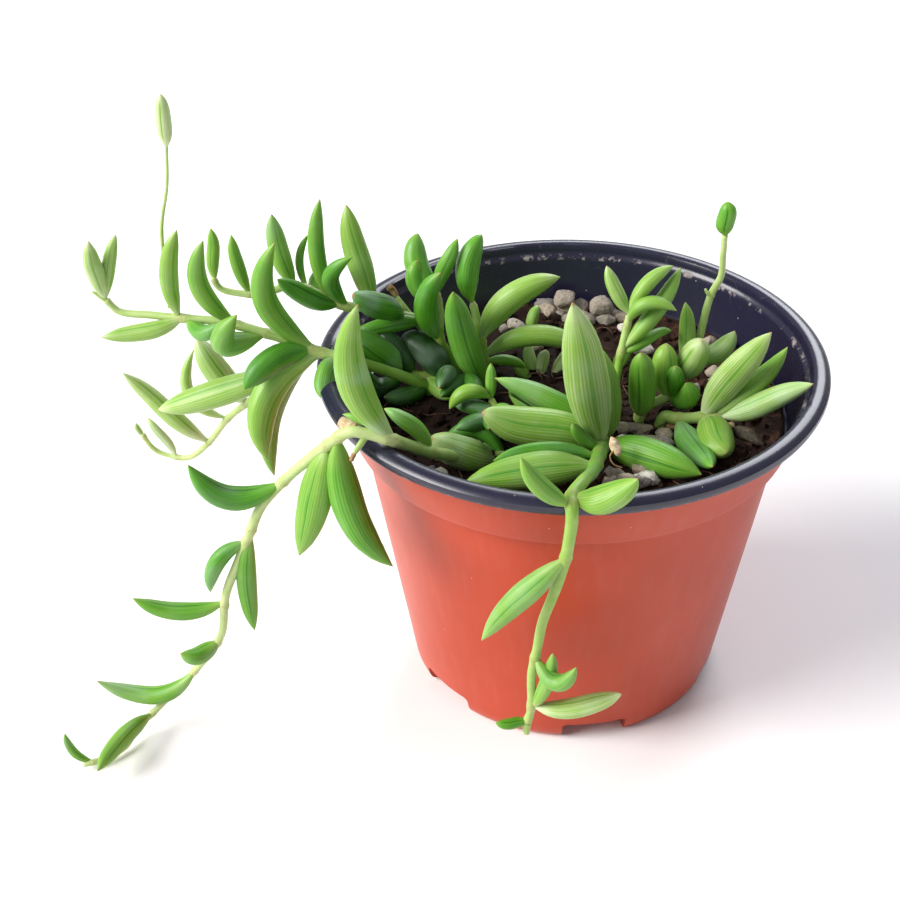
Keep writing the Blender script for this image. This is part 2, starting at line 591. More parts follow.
def leaf_skin(plant):
    """Succulent epidermis: waxy and smooth over fine lengthwise veins, with one darker clear stripe, the
    window, along the inner side."""
    material, add = blank_material("Curio_leaf_waxed_epidermis")
    where = add("Attribute", attribute_name="leaf_place").outputs["Vector"]
    cosine, sine, along = add("SeparateXYZ", where).outputs
    look = add("Attribute", attribute_name="leaf_look").outputs["Vector"]
    tone, veined, seed = add("SeparateXYZ", look).outputs
    around = add("Math", sine, cosine, operation="ARCTAN2")
    place = add("TexCoord").outputs["Object"]
    mottle = add("Math", add("TexNoise", place, 1 / (6 * MM), 3), 0.5, **LESS)
    fine = add("TexNoise", place, 1 / (0.7 * MM), 2)
    ends = add(
        "Math",
        add("MapRange", along, 0.02, 0.25, **EASED),
        add("MapRange", along, 0.75, 0.98, 1, 0, **EASED),
        **MULTIPLY,
    )

    # Veins run from end to end, so they follow the angle round the leaf and draw together at its tip.
    waver = add("Math", mottle, 1.8, seed, **FUSED)
    wave = add("Math", add("Math", around, float(plant.veins), waver, **FUSED), operation="SINE")
    third = add("Math", add("Math", around, float(plant.veins // 3), waver, **FUSED), operation="SINE")
    wave = add("Math", third, 0.4, wave, **FUSED)
    # Between them run paler streaks of uneven width.
    reel = add("Math", add("Math", seed, 20.0, **MULTIPLY), add("Math", along, 1.1, **MULTIPLY), **ADD)
    round_x, round_y = (add("Math", part, 4.2, **MULTIPLY) for part in (cosine, sine))
    reel = add("CombineXYZ", round_x, round_y, reel)
    streak = add("Math", add("TexNoise", reel, 1.0, 4, 0.6), 0.5, **LESS)
    veins = add("Math", add("Math", wave, ends, **MULTIPLY), veined, **MULTIPLY)
    side = add("Math", add("Math", mottle, 0.15, around, **FUSED), operation="ABSOLUTE")
    window = add("Math", add("MapRange", side, 0.05, 0.14, 1, 0, **EASED), ends, **MULTIPLY)

    # Every mark moves the same way along one run of greens.
    depth = add("Math", mottle, 0.22, add("Math", tone, 1.15, -0.06, **FUSED), **FUSED)
    depth = add("Math", streak, 0.42, depth, **FUSED)
    depth = add("Math", veins, 0.065, depth, **FUSED)
    depth = add("Math", window, -0.26, depth, **FUSED)
    depth = add("Math", add("MapRange", along, 0.0, 0.3, 0.2, 0, **EASED), depth, **ADD)
    depth = add("Math", add("MapRange", along, 0.8, 1.0, 0, 0.1, **EASED), depth, **ADD)
    greens = (
        (0.0, tuple(plant.deep)),
        (0.38, tuple(plant.green)),
        (0.72, tuple(plant.fresh)),
        (1.0, tuple(plant.pale)),
    )
    shade = add("ValToRGB", depth, stops=greens)
    # Wax bloom: a thin blue-white frost in soft patches.
    frost = add("MapRange", add("TexNoise", place, 1 / (9 * MM), 2), 0.42, 0.72, 0.0, 0.3, **EASED)
    frost = add("Math", frost, add("MapRange", seed, 0.55, 1.0, 0.2, 1), **MULTIPLY)
    shade = add("Mix", frost, shade, tuple(plant.bloom), **TINTED)
    # The point dries first.
    dry = add("MapRange", seed, 0.2, 0.7, 0.3, 1)
    dry = add("Math", add("MapRange", along, 0.975, 0.992), dry, **MULTIPLY)
    shade = add("Mix", dry, shade, tuple(plant.tan), **TINTED)
    # A few corky specks, 0.5 mm across.
    dots = add("TexVoronoi", place, 1 / (4 * MM))
    cork = add("MapRange", dots, 0.05, 0.1, 0.55, 0, **EASED)
    rare = add("SeparateColor", dots.outputs["Color"]).outputs[1]
    cork = add("Math", cork, add("MapRange", rare, 0.95, 0.96), **MULTIPLY)
    shade = add("Mix", cork, shade, tuple(plant.tan), **TINTED)

    rise = add("Math", veins, 0.35, add("Math", fine, 0.12, **MULTIPLY), **FUSED)
    rise = add("Math", window, -0.08, rise, **FUSED)
    facts = {
        "Base Color": shade,
        "Roughness": add("MapRange", fine, 0.3, 0.7, 0.36, 0.46),
        "Normal": add("Bump", {"Height": rise, "Strength": 0.4, "Distance": 0.1 * MM}),
        "IOR": 1.42,
        "Subsurface Weight": 0.12,
        "Subsurface Radius": (0.7, 1.0, 0.2),
        "Subsurface Scale": 1.3 * MM,
        "Sheen Weight": 0.06,
        "Sheen Roughness": 0.35,
        "Sheen Tint": linear("#dff2cf"),
    }
    add("OutputMaterial", add("BsdfPrincipled", facts))
    return material


def stem_skin(plant):
    """Green stem bark: smooth and faintly ribbed, paler with age, with corky scars at the nodes."""
    material, add = blank_material("Curio_stem_green_bark")
    where = add("Attribute", attribute_name="stem_place").outputs["Vector"]
    _, scar, deep = add("SeparateXYZ", where).outputs
    place = add("TexCoord").outputs["Object"]
    mottle = add("TexNoise", place, 1 / (2.5 * MM), 4)
    fine = add("TexNoise", place, 1 / (0.4 * MM), 3)
    tone = add("Math", add("Math", mottle, 0.5, **LESS), 0.4, deep, **FUSED)
    greens = ((0.0, tuple(plant.stem)), (0.5, tuple(plant.fresh)), (1.0, tuple(plant.green)))
    shade = add("ValToRGB", tone, stops=greens)
    cork = add("Math", scar, add("MapRange", fine, 0.4, 0.62, **EASED), **MULTIPLY)
    shade = add("Mix", add("Math", cork, 0.5, **MULTIPLY), shade, tuple(plant.tan), **TINTED)
    rise = add("Math", cork, 0.8, mottle, **FUSED)
    facts = {
        "Base Color": shade,
        "Roughness": add("MapRange", fine, 0.3, 0.7, 0.36, 0.5),
        "Normal": add("Bump", {"Height": rise, "Strength": 0.6, "Distance": 0.1 * MM}),
        "IOR": 1.42,
        "Subsurface Weight": 0.2,
        "Subsurface Radius": (0.8, 1.0, 0.3),
        "Subsurface Scale": 1.0 * MM,
        "Sheen Weight": 0.1,
        "Sheen Roughness": 0.35,
    }
    add("OutputMaterial", add("BsdfPrincipled", facts))
    return material


def dry_tissue(name, dark, body, light):
    """Withered leaf and husk: matt, papery and streaked."""
    material, add = blank_material(name)
    streak = add("TexNoise", add("TexCoord").outputs["Object"], 1 / (0.9 * MM), 5, 0.65)
    shade = add("ValToRGB", streak, stops=((0.3, dark), (0.5, body), (0.72, light)))
    bump = add("Bump", {"Height": streak, "Strength": 0.8, "Distance": 0.2 * MM})
    facts = {"Base Color": shade, "Roughness": 0.8, "Normal": bump}
    add("OutputMaterial", add("BsdfPrincipled", facts))
    return material


def damp_peat(soil):
    """Peat and coir potting mix: matt crumbs, near black round the plant's damp crown, brown where dry."""
    material, add = blank_material("Potting_mix_peat_and_coir")
    place = add("TexCoord").outputs["Object"]
    clod = add("TexNoise", place, 1 / (3 * MM), 5, 0.65)
    crumb = add("TexNoise", place, 1 / (0.6 * MM), 3)
    black = (*[c * 0.3 for c in soil.peat[:3]], 1)
    stops = ((0.32, black), (0.54, tuple(soil.peat)), (0.76, tuple(soil.coir)))
    shade = add("ValToRGB", clod, stops=stops)
    dry = add("MapRange", crumb, 0.55, 0.75, 0, 0.5, **EASED)
    shade = add("Mix", dry, shade, tuple(soil.coir), **TINTED)
    crown = tuple(v * MM for v in (-24, 4, 68))
    far = add("VectorMath", place, crown, operation="DISTANCE").outputs["Value"]
    far = add("Math", clod, 12 * MM, far, **FUSED)
    shade = add("Mix", add("MapRange", far, 30 * MM, 60 * MM, 0.93, 0), shade, black, **TINTED)
    rise = add("Math", crumb, 0.5, clod, **FUSED)
    bump = add("Bump", {"Height": rise, "Strength": 1.0, "Distance": 0.8 * MM})
    facts = {"Base Color": shade, "Roughness": 0.95, "Normal": bump, "Specular IOR Level": 0.2}
    add("OutputMaterial", add("BsdfPrincipled", facts))
    return material


def coir_fibre(soil):
    """Coconut fibre: dry, matt and red-brown."""
    material, add = blank_material("Coir_fibre")
    tint = add("TexNoise", add("TexCoord").outputs["Object"], 1 / (4 * MM), 2)
    shade = add("Mix", tint, tuple(soil.peat), tuple(soil.coir), **TINTED)
    add("OutputMaterial", add("BsdfPrincipled", {"Base Color": shade, "Roughness": 0.8}))
    return material


def pumice(soil):
    """Pumice and lava grit: matt stone pitted by gas bubbles 0.5 mm across."""
    material, add = blank_material("Pumice_grit")
    place = add("TexCoord").outputs["Object"]
    tint = add("Attribute", attribute_name="stone_tint").outputs["Vector"]
    greyed, whitened, _ = add("SeparateXYZ", tint).outputs
    pits = add("TexVoronoi", place, 1 / (0.9 * MM))
    spots = add("TexNoise", place, 1 / (0.8 * MM), 5, 0.7)
    body = add("Mix", greyed, tuple(soil.stone), linear("#77767a"), **TINTED)
    body = add("Mix", add("MapRange", whitened, 0.7, 0.9), body, linear("#d9d3c8"), **TINTED)
    spotted = add("MapRange", spots, 0.5, 0.72, 0, 0.5, **EASED)
    shade = add("Mix", spotted, body, linear("#4a3b31"), **TINTED)
    shade = add("Mix", add("MapRange", pits, 0.05, 0.3, 0.5, 0), shade, linear("#3a2e27"), **TINTED)
    rise = add("Math", pits, 0.9, spots, **FUSED)
    bump = add("Bump", {"Height": rise, "Strength": 0.9, "Distance": 0.3 * MM})
    facts = {"Base Color": shade, "Roughness": 0.92, "Normal": bump}
    add("OutputMaterial", add("BsdfPrincipled", facts))
    return material


# ------------------------------------------------------------------ plant pieces
LEAF_SIDES = 32
# Where along a leaf its rings lie, closer together at both ends.
STATIONS = (0.0, 0.015, 0.04, 0.075, 0.12, 0.17, 0.23, 0.29, 0.35, 0.41, 0.47, 0.53, 0.59, 0.65, 0.71,
            0.765, 0.815, 0.86, 0.9, 0.93, 0.955, 0.973, 0.986, 0.995)  # fmt: skip
# Half width along the leaf, as (share of its length, share of its half width).
FORMS = {
    "long": ((0, 0.2), (0.05, 0.32), (0.13, 0.58), (0.24, 0.84), (0.38, 0.98), (0.52, 1), (0.66, 0.94),
             (0.78, 0.8), (0.87, 0.59), (0.935, 0.36), (0.975, 0.16), (1, 0.04)),
    "broad": ((0, 0.16), (0.04, 0.26), (0.12, 0.55), (0.24, 0.85), (0.38, 0.99), (0.52, 0.99), (0.67, 0.88),
              (0.8, 0.67), (0.89, 0.44), (0.95, 0.22), (0.98, 0.1), (1, 0.03)),
    "oval": ((0, 0.16), (0.05, 0.32), (0.13, 0.6), (0.25, 0.86), (0.39, 0.98), (0.54, 1), (0.68, 0.95),
             (0.8, 0.82), (0.89, 0.61), (0.95, 0.38), (0.985, 0.16), (1, 0.04)),
    "bead": ((0, 0.2), (0.05, 0.4), (0.13, 0.7), (0.25, 0.93), (0.4, 1), (0.56, 1), (0.7, 0.94),
             (0.82, 0.79), (0.905, 0.57), (0.96, 0.32), (0.985, 0.15), (1, 0.05)),
}  # fmt: skip
DEPTHS = {"long": 0.92, "broad": 0.86, "oval": 0.82, "bead": 0.97}  # as a share of the width
VEINED = {"long": 0.6, "broad": 1.0, "oval": 0.9, "bead": 0.3}  # how strongly the veins show


def along_form(form, share):
    """The half width of a form at a share of its length."""
    stops = [Vector((x, y, 0)) for x, y in FORMS[form]]
    steps = [i / 12 for i in range(12 * (len(stops) - 1) + 1)]
    near = min(steps, key=lambda at: abs(smooth_line(stops, at).x - share))
    return smooth_line(stops, near).y


def leaf_blank(form):
    """A straight leaf 1 long and 1 wide, standing on the origin."""
    rings = [(along_form(form, s) / 2, s) for s in STATIONS]
    blank = risen(form + "_blank", LEAF_SIDES, [*rings, (0, 1.0)])
    for point in blank.data.vertices:
        angle = math.atan2(point.co.y, point.co.x)
        # The window lies in a shallow groove on the inner side, which is a little flattened.
        groove = 1 - 0.04 * bell(angle, 0.24) - 0.06 * max(0, math.cos(angle)) ** 2
        point.co.x *= groove * DEPTHS[form]
        point.co.y *= groove
    return blank


SKYWARD = Vector((-0.1, -0.62, 0.78))  # the direction that the leaves turn their windows to


def leaf_frame(heading, lift, turn):
    """The direction along a leaf and the side that it bows to."""
    h, l, t = (math.radians(a) for a in (heading, lift, turn))
    along = Vector((math.cos(h) * math.cos(l), math.sin(h) * math.cos(l), math.sin(l)))
    below = Vector((math.cos(h) * math.sin(l), math.sin(h) * math.sin(l), -math.cos(l)))
    return along, below * math.cos(t) + along.cross(below) * math.sin(t)


def grown_leaf(name, blank, base, leaf, seed):
    """A copy of the blank bent along the leaf's own midrib."""
    _, heading, lift, size, width, bow, turn, tone, form = leaf
    size, width, bow = size * MM, width * MM, bow * MM
    along, belly = leaf_frame(heading, lift, turn)
    tip = base + along * size
    middle = (base + tip) / 2 + belly * 2 * bow
    chance = random.Random(seed)
    # A leaf turns its window skyward, more so the straighter it is.
    side = belly.cross(along).normalized()
    inner = side.cross(along)
    to_light = math.atan2(SKYWARD.dot(side), SKYWARD.dot(inner))
    spin = to_light * max(0.25, 1 - bow / size * 6) + math.radians(chance.uniform(-14, 14))
    twist = math.radians(chance.uniform(-16, 16))
    sway = chance.uniform(-0.03, 0.03) * size
    mesh = blank.data.copy()
    mesh.name = name
    places = []
    for point in mesh.vertices:
        x, y, t = point.co
        angle = math.atan2(y, x)
        places.append((math.cos(angle), math.sin(angle), t))
        spine = (1 - t) ** 2 * base + 2 * t * (1 - t) * middle + t * t * tip
        tangent = (2 * (1 - t) * (middle - base) + 2 * t * (tip - middle)).normalized()
        across = belly.cross(tangent).normalized()
        inner = across.cross(tangent)
        spine = spine + across * sway * math.sin(math.pi * 2 * t)
        c, s = math.cos(spin + twist * t), math.sin(spin + twist * t)
        swell = 1 + 0.035 * noise.noise(Vector((x * 3, y * 3, t * 4 + seed)))
        point.co = spine + (inner * (x * c - y * s) + across * (x * s + y * c)) * width * swell
    write_attribute(mesh, "leaf_place", places)
    write_attribute(mesh, "leaf_look", [(tone, VEINED[form], chance.random())] * len(places))
    return placed(name, mesh)


def grown_stem(name, route, thick, nodes, tone, taper_end=0.5):
    """A closed tube along the route, swollen and scarred at its nodes, which are counts of route points."""
    steps = max(8, int((len(route) - 1) * 9))
    ats = [i * (len(route) - 1) / steps for i in range(steps + 1)]
    spots = [on_route(route, at) for at in ats]
    reach = [0.0]
    for a, b in zip(spots, spots[1:]):
        reach.append(reach[-1] + (b - a).length)
    node_reach = [reach[min(range(len(ats)), key=lambda i, n=n: abs(ats[i] - n))] for n in nodes]
    line = bpy.data.curves.new(name, "CURVE")
    line.dimensions = "3D"
    line.bevel_depth = 1.0
    line.bevel_resolution = 5
    line.use_fill_caps = True
    run = line.splines.new("POLY")
    run.points.add(len(spots) - 1)
    for i, spot in enumerate(spots):
        share = reach[i] / reach[-1]
        girth = thick[0] + (thick[1] - thick[0]) * share
        swell = max((bell(reach[i] - r, 0.9 * MM) for r in node_reach), default=0)
        girth *= 1 + 0.2 * swell + 0.05 * noise.noise(Vector((share * 30, reach[-1] * 99, 1)))
        run.points[i].co = (*spot, 1)
        run.points[i].radius = girth / 2 * MM
    run.points[-1].radius *= taper_end
    piece = placed(name, line)
    choose(piece)
    bpy.ops.object.convert(target="MESH")
    edit_all()
    bpy.ops.mesh.remove_doubles(threshold=0.001 * MM)
    bpy.ops.mesh.normals_make_consistent(inside=False)
    bpy.ops.object.mode_set(mode="OBJECT")
    places = []
    for point in piece.data.vertices:
        i = min(range(len(spots)), key=lambda k, p=point.co: (spots[k] - p).length_squared)
        scar = max((bell(reach[i] - r, 0.8 * MM) for r in node_reach), default=0)
        inside = point.co.z < 82 * MM and math.hypot(point.co.x, point.co.y) < 50 * MM
        share = reach[i] / reach[-1]
        places.append((share, scar, tone * (1.25 - 0.7 * share) + (0.2 if inside else 0)))
    write_attribute(piece.data, "stem_place", places)
    return piece


# ------------------------------------------------------------------ operators
class PLANT_OT_stage(bpy.types.Operator):
    """Sets the pale floor, the soft lights and the camera"""

    bl_idname = "plant.stage"
    bl_label = "Stage"

    SENSOR, LENS = 36, 64  # in millimetres, as Blender's camera takes them
    AIM = Vector((-26.7, 0, 53.6)) * MM  # the place in the middle of the picture
    ROLL = math.radians(-1.07)

    def execute(self, context):
        stage = context.scene.plant_stage
        choose()
        bpy.ops.mesh.primitive_plane_add(size=6, location=(0, 0, 0))
        floor = context.object
        floor.name = "Floor"
        material, add = blank_material("Matt_painted_floor")
        facts = {"Base Color": tuple(stage.floor), "Roughness": 0.8, "Specular IOR Level": 0.2}
        add("OutputMaterial", add("BsdfPrincipled", facts))
        floor.data.materials.append(material)

        world = bpy.data.worlds.new("Soft_daylight")
        world.use_nodes = True
        back = world.node_tree.nodes["Background"]
        back.inputs["Color"].default_value = (0.9, 0.93, 1.0, 1)
        back.inputs["Strength"].default_value = 0.4
        context.scene.world = world
        context.scene.view_settings.view_transform = "Standard"

        self.skylight("Window_light", (-0.82, -0.27, 0.58), 40, 5.0, (1.0, 0.98, 0.95))
        self.skylight("Back_light", (0.2, 0.8, 0.6), 34, 1.9, (0.93, 0.95, 1.0))

        rim = Vector((0, 0, context.scene.plant_pot.height))
        away = Vector((0, -math.cos(stage.elevation), math.sin(stage.elevation)))
        lens = bpy.data.cameras.new("Camera")
        lens.sensor_width, lens.lens = self.SENSOR, self.LENS
        lens.clip_start = 0.01
        camera = placed("Camera", lens)
        spot = rim + away * stage.distance
        turn = (self.AIM - spot).to_track_quat("-Z", "Y").to_matrix().to_4x4()
        tilt = Matrix.Rotation(self.ROLL, 4, "Z")
        camera.matrix_world = Matrix.Translation(spot) @ turn @ tilt
        context.scene.camera = camera
        return {"FINISHED"}

    def skylight(self, name, place, spread, power, tint):
        """A broad soft light that comes from the direction of a place."""
        lamp = bpy.data.lights.new(name, "SUN")
        lamp.angle, lamp.energy, lamp.color = math.radians(spread), power, tint
        holder = placed(name, lamp)
        holder.location = place
        holder.rotation_euler = Vector(place).to_track_quat("Z", "Y").to_euler()


class PLANT_OT_pot(bpy.types.Operator):
    """Forms the pot: foot with drain pockets, tapering wall, collar and rolled rim"""

    bl_idname = "plant.pot"
    bl_label = "Nursery pot"

    DRAWN_HEIGHT = 80 * MM  # the height that the profiles are drawn for
    POCKETS = 6  # recesses round the foot, which leave six feet between them
    FIRST_TURN = 0.71  # where the first pocket lies, as a share of the step between pockets
    POCKET = (13 * MM, 14.5 * MM, 10 * MM)  # inwards, along the foot, and height, half of it below the base
    POCKET_OUT = 33.5 * MM  # from the axis to a pocket's middle
    SLOT = (3 * MM, 8 * MM, 20 * MM)
    SLOT_OUT = 30.5 * MM
    ROUNDING = 1.2 * MM
    BLACK_EDGE = 3.5 * MM  # how far below its top the rim is black outside

    def execute(self, context):
        pot = context.scene.plant_pot
        top, edge = pot.height, pot.rim_radius
        shift = top - self.DRAWN_HEIGHT
        outside = (
            (33.2, 0), (34.4, 0.25), (35.2, 1.1), (35.8, 2.4), (36.1, 4.2), (45.6, 62.9), (45.8, 64.0),
            (46.3, 64.8), (47.2, 65.0), (48.0, 65.2), (48.4, 66.1), (50.9, 75.9), (51.1, 76.5),
            (52.2, 76.6), (53.7, 76.7), (54.6, 77.2), (edge / MM, 78.2), (54.9, 79.0), (54.3, 79.6),
            (53.4, 79.92), (52.6, 80), (51.9, 79.92), (51.4, 79.6),
        )  # fmt: skip
        inside = (
            (32.3, 0.9), (33.6, 1.3), (34.4, 2.2), (35.1, 4.1), (44.7, 63.4), (44.9, 64.9), (45.4, 65.5),
            (46.4, 65.8), (47.1, 66.1), (47.5, 66.9), (49.7, 76.0), (50.0, 76.9), (50.7, 77.4),
            (51.0, 78.2), (51.1, 79.0), (51.4, 79.6), (52.0, 81),
        )  # fmt: skip
        shell = risen("pot_shell", pot.sides, [(r * MM, z * MM + shift) for r, z in outside])
        hollow = risen("pot_hollow", pot.sides, [(r * MM, z * MM + shift) for r, z in inside])
        pockets, grown = self.pockets("pocket", 0), self.pockets("pocket_inner", pot.wall)
        slots = self.slots()
        black, red = self.layers(pot)
        for piece, layer in ((shell, red), (hollow, black), (pockets, red), (grown, black), (slots, black)):
            piece.data.materials.append(layer)
        for piece, cutter in ((shell, pockets), (hollow, grown), (shell, hollow), (shell, slots)):
            apply_modifier(piece, "BOOLEAN", object=cutter, solver="EXACT", material_mode="TRANSFER")
        drop(hollow, pockets, grown, slots)
        # The black layer wraps over the rim's edge.
        dark = list(shell.data.materials).index(black)
        for face in shell.data.polygons:
            if face.center.z > top - self.BLACK_EDGE:
                face.material_index = dark
        choose(shell)
        bpy.ops.object.shade_smooth_by_angle(angle=math.radians(35))
        keep(shell, "pot_plastic", "pot", smooth=False)
        return {"FINISHED"}

    def layers(self, pot):
        """The sheet's two layers, black and red."""
        scuff = tuple(pot.scuff)
        black = {"gloss": 0.22, "shine": 0.6, "film": 0.03, "drawn_share": 0.004, "wear": 0.12}
        red = {"gloss": 0.36, "shine": 0.35, "film": 0.06, "drawn_share": 0.02, "wear": 0.25}
        return (
            formed_plastic("Polypropylene_black_layer", tuple(pot.inside), scuff, **black),
            formed_plastic("Polypropylene_terracotta_layer", tuple(pot.outside), scuff, **red),
        )

    def ring_of(self, name, block):
        """Copies of a block round the foot, one for each pocket."""
        copies = []
        for i in range(self.POCKETS):
            copy = placed(block.name, block.data.copy())
            copy.data.transform(Matrix.Rotation((i + self.FIRST_TURN) * math.tau / self.POCKETS, 4, "Z"))
            copies.append(copy)
        drop(block)
        return joined(name, copies)

    def block(self, size, out):
        """A block with rounded edges, this far out from the axis."""
        choose()
        bpy.ops.mesh.primitive_cube_add(size=1, location=(0, 0, 0))
        block = bpy.context.object
        edit_all()
        bpy.ops.transform.resize(value=size)
        bpy.ops.transform.translate(value=(out, 0, 0))
        bpy.ops.mesh.bevel(offset=self.ROUNDING, segments=3, affect="EDGES")
        bpy.ops.object.mode_set(mode="OBJECT")
        return block

    def pockets(self, name, grow):
        """Recesses in the foot, grown on every side."""
        size = [side + 2 * grow for side in self.POCKET]
        return self.ring_of(name, self.block(size, self.POCKET_OUT))

    def slots(self):
        """Drain slots through the pocket ceilings."""
        return self.ring_of("drain_slots", self.block(self.SLOT, self.SLOT_OUT))


class PLANT_OT_soil(bpy.types.Operator):
    """Fills the pot with uneven potting mix, its crumbs and its fibres"""

    bl_idname = "plant.soil"
    bl_label = "Soil"

    SEED = 11
    REACH = 46 * MM  # from the axis to the wall at the surface
    FIBRE_START = 42 * MM  # how far out a fibre can begin
    FIBRE_REACH = 44 * MM  # and how far out it can run
    FIBRE_STEPS = 9

    def execute(self, context):
        soil = context.scene.plant_soil
        chance = random.Random(self.SEED)
        level = soil.level
        rings = [(r * MM, level) for r in (45.6, *range(44, 0, -2), 1)]
        wall = [(r * MM, z * MM) for r, z in ((34.6, 6.4), (44.2, 64.6), (46.4, 66.4))]
        body = risen("soil_body", 96, [*wall, *rings])
        for point in body.data.vertices:
            if point.co.z >= level - 0.01 * MM:
                point.co.z = self.surface(soil, point.co.x, point.co.y)
        keep(body, "potting_mix", "soil", material=damp_peat(soil))

        choose()
        bpy.ops.mesh.primitive_ico_sphere_add(subdivisions=2, radius=1)
        crumb = context.object
        points, faces = self.scattered(crumb.data, soil, soil.crumbs, chance)
        drop(crumb)
        loose = mesh_piece("soil_crumbs", points, faces)
        keep(loose, "potting_mix", material=bpy.data.materials["Potting_mix_peat_and_coir"], smooth=False)

        points, faces = [], []
        for _ in range(soil.fibres):
            self.fibre(points, faces, soil, chance)
        keep(mesh_piece("coir_fibres", points, faces), "potting_mix", material=coir_fibre(soil))
        return {"FINISHED"}

    @staticmethod
    def surface(soil, x, y):
        """The height of the soil at a place."""
        reach = math.hypot(x, y) / PLANT_OT_soil.REACH
        rise = 1.2 * MM * (1 - reach * reach)
        rough = noise.fractal(Vector((x, y, 0)) / (9 * MM), 1.0, 2.2, 4)
        fade = min(1, max(0, (1 - reach) * 8))
        return soil.level + rise + rough * soil.roughness * fade

    def scattered(self, shape, soil, count, chance):
        """Copies of a shape, each crumpled in its own way, over the surface."""
        points, faces = [], []
        corners = [v.co.copy() for v in shape.vertices]
        for _ in range(count):
            x, y, _ = spot_within(self.REACH, chance)
            size = chance.choice((0.5, 0.7, 0.9, 1.2, 1.6)) * MM
            squash = Vector((1, chance.uniform(0.5, 1), chance.uniform(0.4, 0.8)))
            spin = Euler([chance.uniform(0, math.tau) for _ in range(3)]).to_matrix()
            middle = Vector((x, y, self.surface(soil, x, y) + 0.25 * size))
            first = len(points)
            off = chance.uniform(0, 99)
            for corner in corners:
                lump = 1 + 0.45 * noise.noise(corner * 1.7 + Vector((off, 0, 0)))
                points.append(middle + spin @ (corner * lump * size * squash))
            faces += [[first + i for i in f.vertices] for f in shape.polygons]
        return points, faces

    def fibre(self, points, faces, soil, chance):
        """One thin curved fibre of three sides."""
        spot = spot_within(self.FIBRE_START, chance)
        heading, curl = chance.uniform(0, math.tau), chance.uniform(-0.5, 0.5)
        thick, lift = chance.uniform(0.1, 0.22) * MM, chance.uniform(0.2, 1.4) * MM
        stride = chance.uniform(0.5, 1.4) * MM
        first = len(points)
        for i in range(self.FIBRE_STEPS + 1):
            spot = spot + level_way(heading) * stride
            far = math.hypot(spot.x, spot.y)
            if far > self.FIBRE_REACH:
                spot *= self.FIBRE_REACH / far
            heading += curl * 0.4
            height = self.surface(soil, spot.x, spot.y) + 0.3 * MM
            height += lift * math.sin(math.pi * i / self.FIBRE_STEPS)
            core = Vector((spot.x, spot.y, height))
            side = Vector((-math.sin(heading), math.cos(heading), 0))
            for k in range(3):
                angle = k * math.tau / 3
                points.append(core + (side * math.cos(angle) + Vector((0, 0, math.sin(angle)))) * thick)
        for i in range(self.FIBRE_STEPS):
            for k in range(3):
                a, b = first + 3 * i + k, first + 3 * i + (k + 1) % 3
                faces.append((a, b, b + 3, a + 3))
        last = first + 3 * self.FIBRE_STEPS
        faces.append((first + 2, first + 1, first))
        faces.append((last, last + 1, last + 2))


